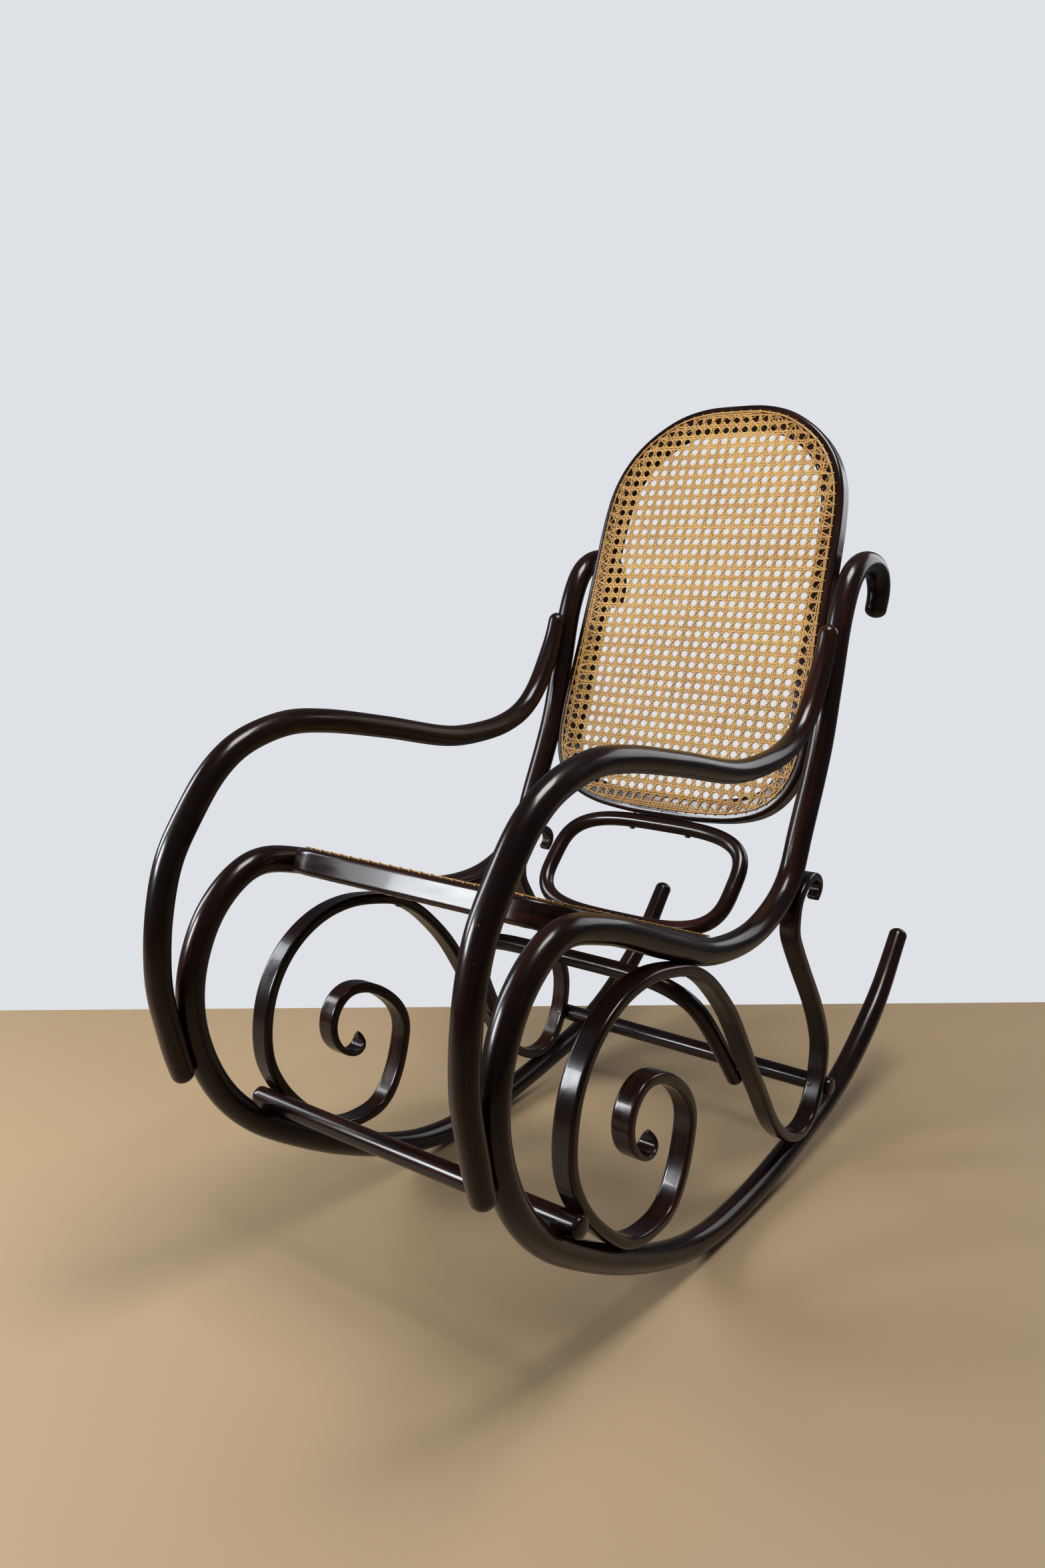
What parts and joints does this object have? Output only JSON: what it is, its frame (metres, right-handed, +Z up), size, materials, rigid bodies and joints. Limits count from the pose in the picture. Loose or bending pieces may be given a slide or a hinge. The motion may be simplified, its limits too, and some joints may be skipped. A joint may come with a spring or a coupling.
{
  "type": "bentwood rocking chair",
  "caption": "Rocking chair of bent round rods with scrolled sides that are also its runners, long looped arms, and a sloping seat and tall arched back of woven cane.",
  "frame": {"origin": "middle of the chair's footprint, on the floor it rests on", "axes": "+Z up, the sitter faces -Y, +X is the sitter's left"},
  "size_m": [0.5112, 1.1622, 1.1016],
  "materials": {
    "lacquered_wood": "gloss dark mahogany lacquer",
    "cane": "natural woven cane, satin",
    "screw_steel": "dulled steel screw heads"
  },
  "bodies": {
    "root": {"side_member_left": "lacquered_wood", "arm_left": "lacquered_wood", "scroll_left": "lacquered_wood", "side_member_right": "lacquered_wood", "arm_right": "lacquered_wood", "scroll_right": "lacquered_wood", "front_stretcher": "lacquered_wood", "rear_stretcher": "lacquered_wood", "under_seat_arch": "lacquered_wood", "seat_frame": "lacquered_wood", "seat_cane": "cane", "seat_binder": "cane", "back_frame": "lacquered_wood", "back_cane": "cane", "back_binder": "cane", "lumbar_ring": "lacquered_wood", "arm_post_screw_left": "screw_steel", "arm_loop_screw_left": "screw_steel", "scroll_hook_screw_left": "screw_steel", "scroll_rail_screw_left": "screw_steel", "scroll_runner_front_screw_left": "screw_steel", "scroll_runner_rear_screw_left": "screw_steel", "front_stretcher_screw_left": "screw_steel", "rear_stretcher_screw_left": "screw_steel", "back_upper_screw_left": "screw_steel", "back_lower_screw_left": "screw_steel", "seat_front_screw_left": "screw_steel", "seat_rear_screw_left": "screw_steel", "arch_screw_left": "screw_steel", "ring_top_screw_left": "screw_steel", "ring_bottom_screw_left": "screw_steel", "arm_post_screw_right": "screw_steel", "arm_loop_screw_right": "screw_steel", "scroll_hook_screw_right": "screw_steel", "scroll_rail_screw_right": "screw_steel", "scroll_runner_front_screw_right": "screw_steel", "scroll_runner_rear_screw_right": "screw_steel", "front_stretcher_screw_right": "screw_steel", "rear_stretcher_screw_right": "screw_steel", "back_upper_screw_right": "screw_steel", "back_lower_screw_right": "screw_steel", "seat_front_screw_right": "screw_steel", "seat_rear_screw_right": "screw_steel", "arch_screw_right": "screw_steel", "ring_top_screw_right": "screw_steel", "ring_bottom_screw_right": "screw_steel"}
  },
  "joints": []
}
